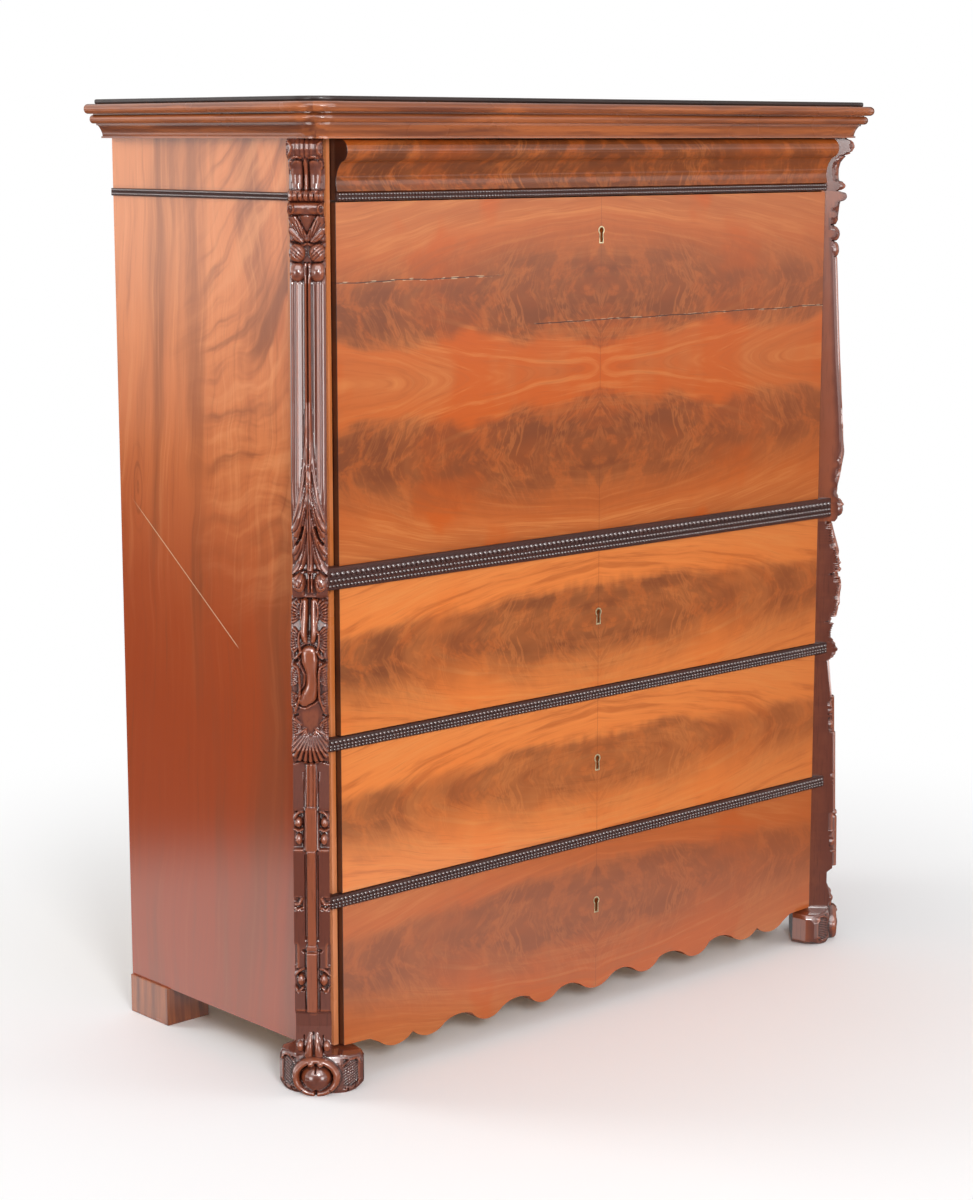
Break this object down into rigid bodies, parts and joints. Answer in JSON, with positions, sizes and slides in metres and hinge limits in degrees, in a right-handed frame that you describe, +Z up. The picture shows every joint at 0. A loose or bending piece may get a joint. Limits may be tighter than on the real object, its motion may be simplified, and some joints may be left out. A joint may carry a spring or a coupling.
{
  "type": "fall-front chiffonier",
  "caption": "Tall mahogany chiffonier with a drop-down writing flap, an ogee frieze drawer, long drawers below and carved console pilasters on canted corners.",
  "frame": {"origin": "on the floor, under the middle of the whole piece", "axes": "+X to the right seen from the front, +Y to the back, +Z up"},
  "size_m": [1.186, 0.534, 1.4],
  "materials": {
    "mahogany": "figured veneer, high polish",
    "carved_mahogany": "solid, dark, polished",
    "dark_top": "dark polish",
    "pine": "bare softwood",
    "brass": "aged",
    "iron": "dark"
  },
  "bodies": {
    "case": {"back_panel": "pine", "bottom_board": "pine", "case_top": "pine", "corner_post_left": "mahogany", "corner_post_right": "mahogany", "cornice_back": "pine", "cornice_front": "mahogany", "cornice_left": "mahogany", "cornice_right": "mahogany", "desk_battens": "pine", "desk_board": "mahogany", "drawer_bead_lower": "carved_mahogany", "drawer_bead_upper": "carved_mahogany", "drawer_guides": "pine", "drawer_rail_lower": "pine", "drawer_rail_upper": "pine", "frieze_bead_left": "carved_mahogany", "frieze_bead_right": "carved_mahogany", "frieze_board": "pine", "front_foot_left": "carved_mahogany", "front_foot_right": "carved_mahogany", "lower_console_left": "carved_mahogany", "lower_console_right": "carved_mahogany", "pilaster_corbel_left": "carved_mahogany", "pilaster_corbel_right": "carved_mahogany", "rear_foot_left": "mahogany", "rear_foot_right": "mahogany", "side_panel_left": "mahogany", "side_panel_right": "mahogany", "top_board": "dark_top", "upper_console_left": "carved_mahogany", "upper_console_right": "carved_mahogany", "waist_moulding": "carved_mahogany", "waist_rail": "pine", "writing_cabinet": "mahogany"},
    "fall_front": {"fall_front": "mahogany", "flap_pivots": "iron", "flap_lock": "iron", "flap_escutcheon": "brass"},
    "frieze_drawer": {"frieze_front": "mahogany", "frieze_bead_front": "carved_mahogany", "frieze_drawer_box": "pine", "frieze_drawer_bottom": "pine"},
    "drawer_upper": {"drawer_upper_front": "mahogany", "drawer_upper_box": "pine", "drawer_upper_bottom": "pine", "drawer_upper_lock": "iron", "drawer_upper_escutcheon": "brass"},
    "drawer_middle": {"drawer_middle_front": "mahogany", "drawer_middle_box": "pine", "drawer_middle_bottom": "pine", "drawer_middle_lock": "iron", "drawer_middle_escutcheon": "brass"},
    "drawer_lower": {"drawer_lower_front": "mahogany", "drawer_lower_box": "pine", "drawer_lower_bottom": "pine", "drawer_lower_lock": "iron", "drawer_lower_escutcheon": "brass"}
  },
  "joints": [
    {"name": "fall_front_hinge", "type": "hinge", "parent": "case", "child": "fall_front", "pos_m": [0, -0.192, 0.7765], "axis": [1, 0, 0], "range_deg": [0, 90]},
    {"name": "frieze_drawer_slide", "type": "slide", "parent": "case", "child": "frieze_drawer", "axis": [0, -1, 0], "range_m": [0, 0.28]},
    {"name": "drawer_upper_slide", "type": "slide", "parent": "case", "child": "drawer_upper", "axis": [0, -1, 0], "range_m": [0, 0.3]},
    {"name": "drawer_middle_slide", "type": "slide", "parent": "case", "child": "drawer_middle", "axis": [0, -1, 0], "range_m": [0, 0.3]},
    {"name": "drawer_lower_slide", "type": "slide", "parent": "case", "child": "drawer_lower", "axis": [0, -1, 0], "range_m": [0, 0.3]}
  ]
}
